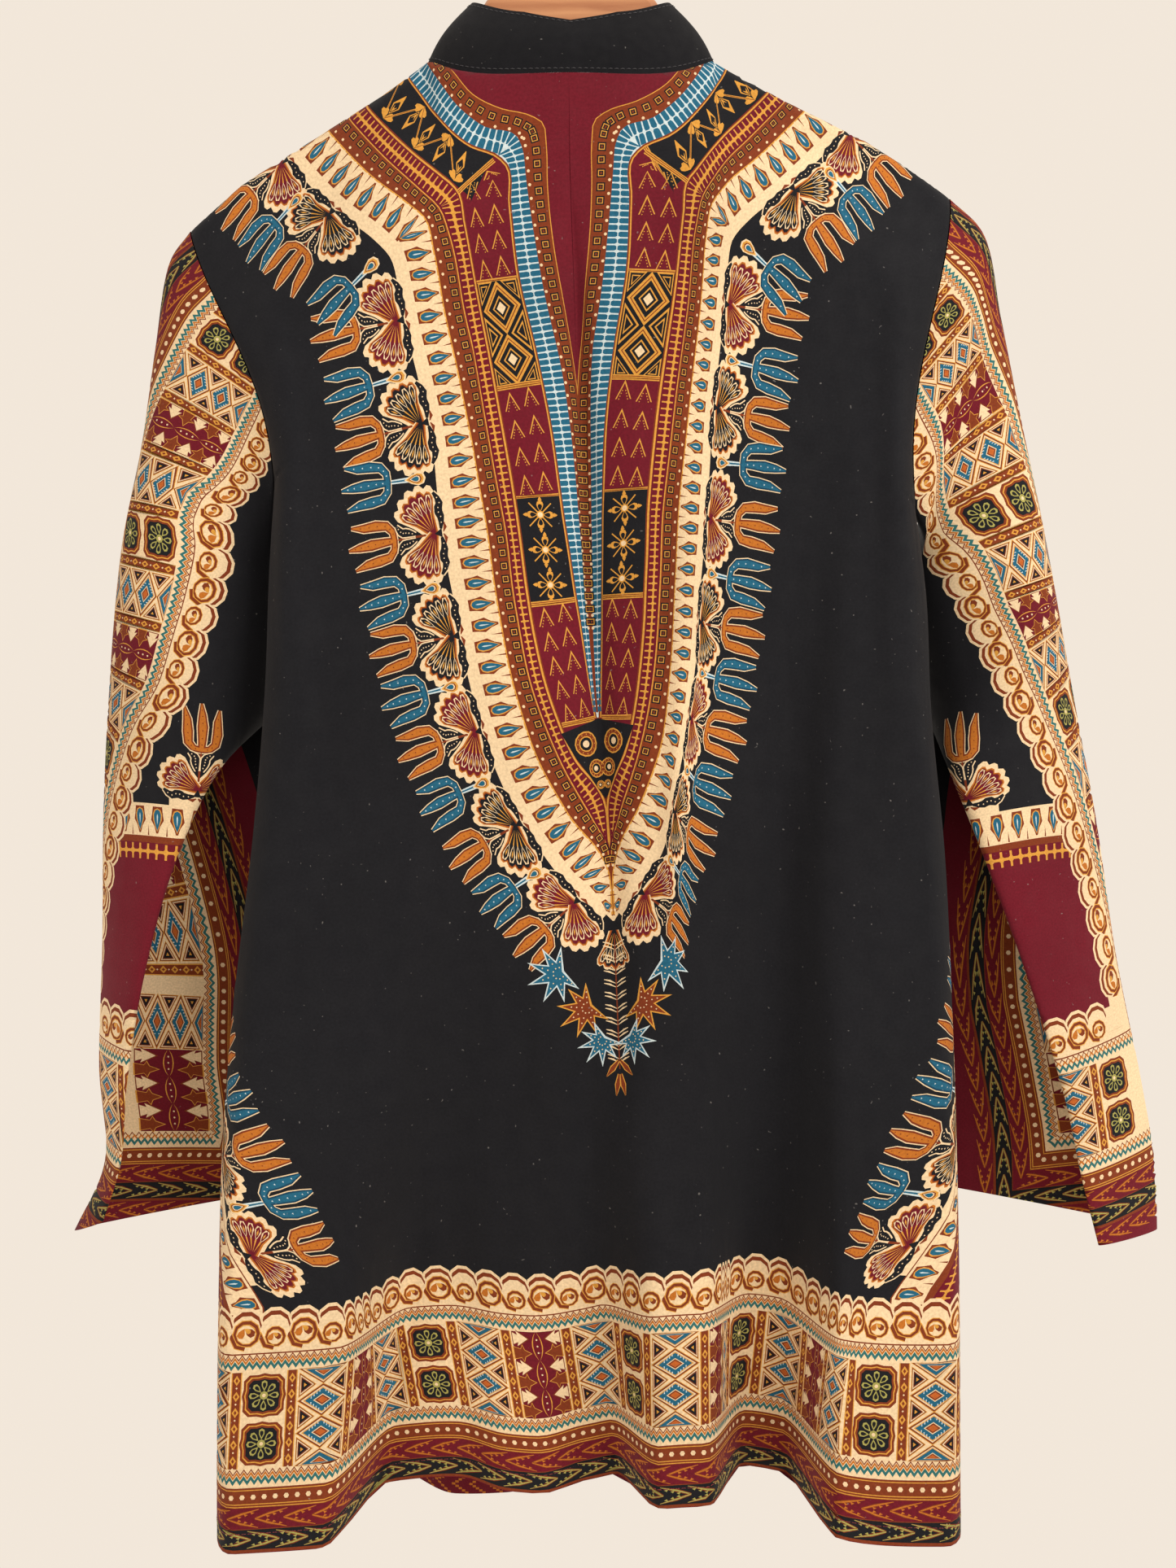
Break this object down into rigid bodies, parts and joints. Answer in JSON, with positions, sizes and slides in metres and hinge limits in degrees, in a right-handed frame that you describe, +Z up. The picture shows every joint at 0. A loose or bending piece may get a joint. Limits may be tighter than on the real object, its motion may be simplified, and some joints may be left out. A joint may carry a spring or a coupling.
{
  "type": "dashiki tunic on a wooden hanger",
  "caption": "Long-sleeved dashiki tunic with a stand collar, hanging on a flat wooden hanger with a wire hook.",
  "frame": {"origin": "inside top of the hanger's hook, where a rod or a nail carries it", "axes": "+Z up, the tunic's back faces -Y, +X to the right seen from its back"},
  "size_m": [0.6597, 0.1253, 0.9989],
  "materials": {
    "cloth_body": "matte printed cotton",
    "cloth_sleeves": "matte printed cotton",
    "cloth_collar": "matte plain cotton",
    "hanger_wood": "satin varnish",
    "hook_wire": "bright"
  },
  "bodies": {
    "root": {"back": "cloth_body", "front": "cloth_body", "sleeve_left": "cloth_sleeves", "sleeve_right": "cloth_sleeves", "collar": "cloth_collar", "hanger": "hanger_wood", "hanger_hook": "hook_wire"}
  },
  "joints": []
}
